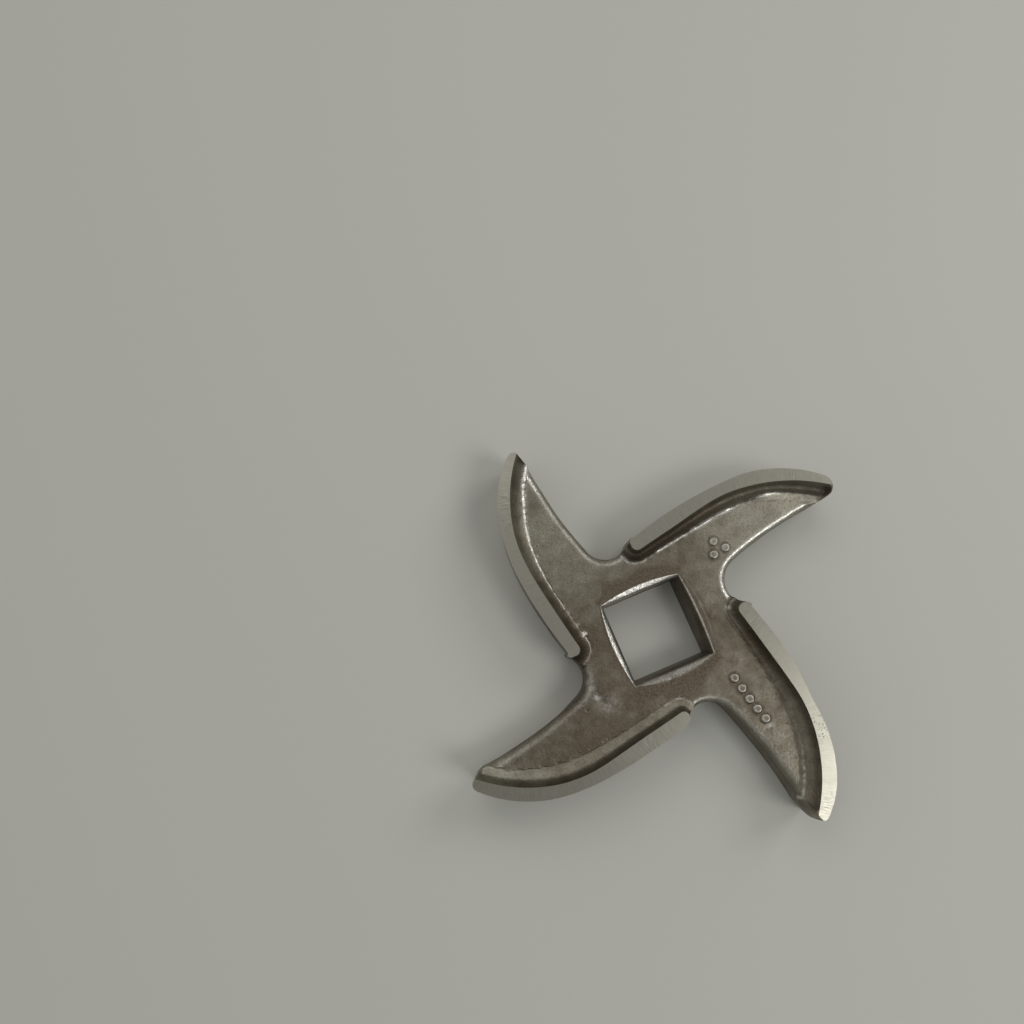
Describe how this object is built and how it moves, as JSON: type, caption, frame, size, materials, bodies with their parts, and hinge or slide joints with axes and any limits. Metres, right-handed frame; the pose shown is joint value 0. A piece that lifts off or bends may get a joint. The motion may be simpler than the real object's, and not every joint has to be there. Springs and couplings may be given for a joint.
{
  "type": "meat grinder knife",
  "caption": "Cast steel meat grinder knife: sickle-shaped arms round a square drive hole, each with a raised, ground land along its curved leading edge.",
  "frame": {"origin": "on the drive axis, in the plane of the flat back", "axes": "+Z out of the cutting face, X and Y parallel to the sides of the square drive hole"},
  "size_m": [0.0912, 0.0912, 0.0128],
  "materials": {
    "cast_steel": "as-cast satin, lands ground"
  },
  "bodies": {
    "root": {"grinder_knife": "cast_steel"}
  },
  "joints": []
}
